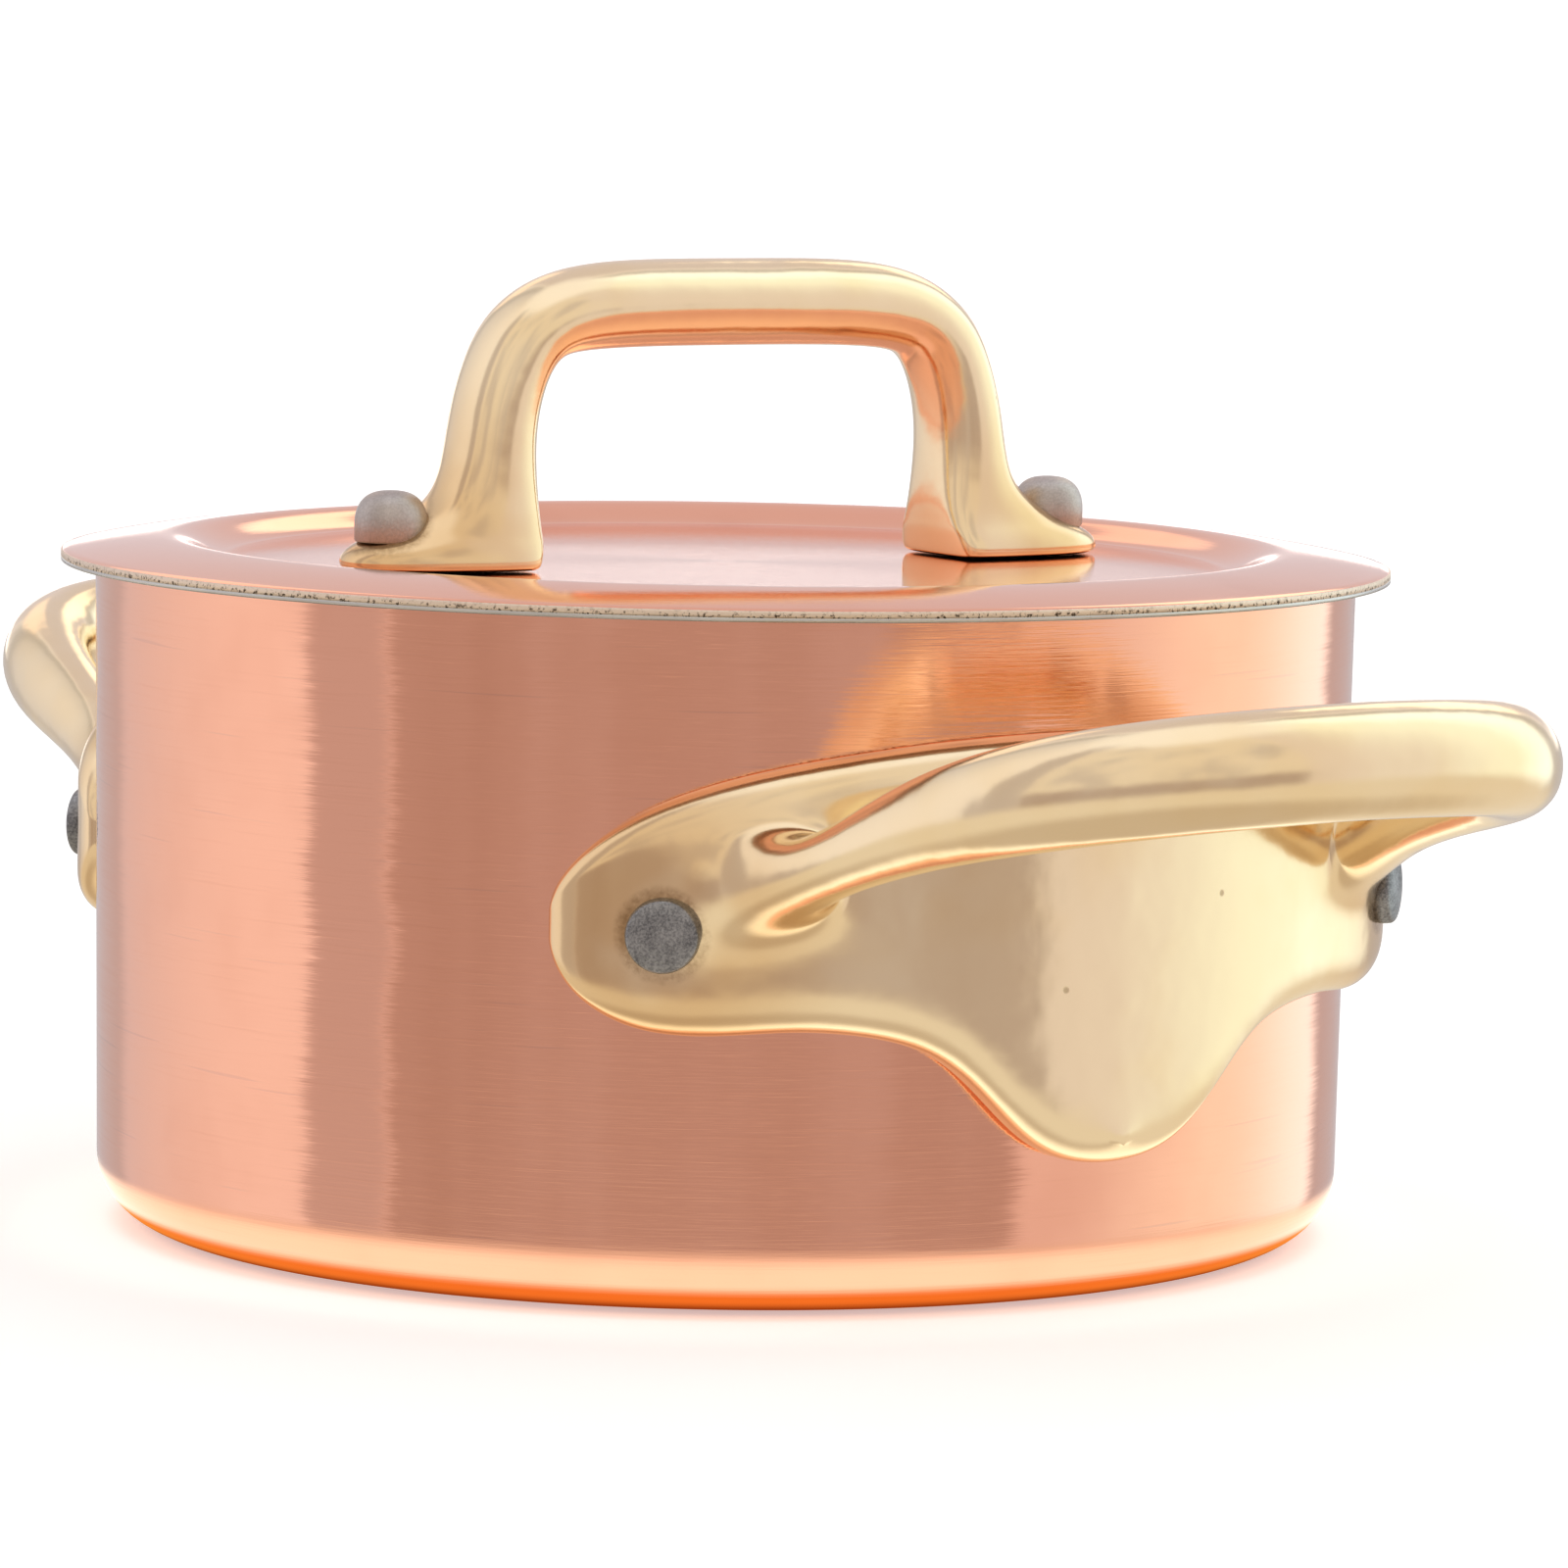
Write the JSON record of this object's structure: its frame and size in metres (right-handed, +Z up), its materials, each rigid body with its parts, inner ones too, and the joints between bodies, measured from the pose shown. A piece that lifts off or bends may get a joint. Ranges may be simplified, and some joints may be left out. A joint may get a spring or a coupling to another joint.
{
  "type": "lidded stewpan",
  "caption": "Small round copper stewpan with a steel lining, two cast brass loop handles riveted to its sides and a flat lift-off lid with a brass arch handle.",
  "frame": {"origin": "middle of the base, on the surface the pan stands on", "axes": "+Z up, +X from one side handle to the other"},
  "size_m": [0.1584, 0.098, 0.0712],
  "materials": {
    "polished_copper": "polished copper, finely brushed round the pot",
    "lining_steel": "satin stainless steel",
    "cast_brass": "cast and polished brass",
    "rivet_steel": "tumbled grey steel, slightly pitted"
  },
  "bodies": {
    "pot": {"pot_shell": "polished_copper", "pot_lining": "lining_steel", "handle_right": "cast_brass", "handle_left": "cast_brass", "rivet_right_1": "rivet_steel", "rivet_right_2": "rivet_steel", "rivet_left_1": "rivet_steel", "rivet_left_2": "rivet_steel"},
    "lid": {"lid_shell": "polished_copper", "lid_lining": "lining_steel", "lid_handle": "cast_brass", "lid_rivet_1": "rivet_steel", "lid_rivet_2": "rivet_steel"}
  },
  "joints": [
    {"name": "lid_lift", "type": "slide", "parent": "pot", "child": "lid", "axis": [0, 0, 1], "range_m": [0, 0.08]}
  ]
}
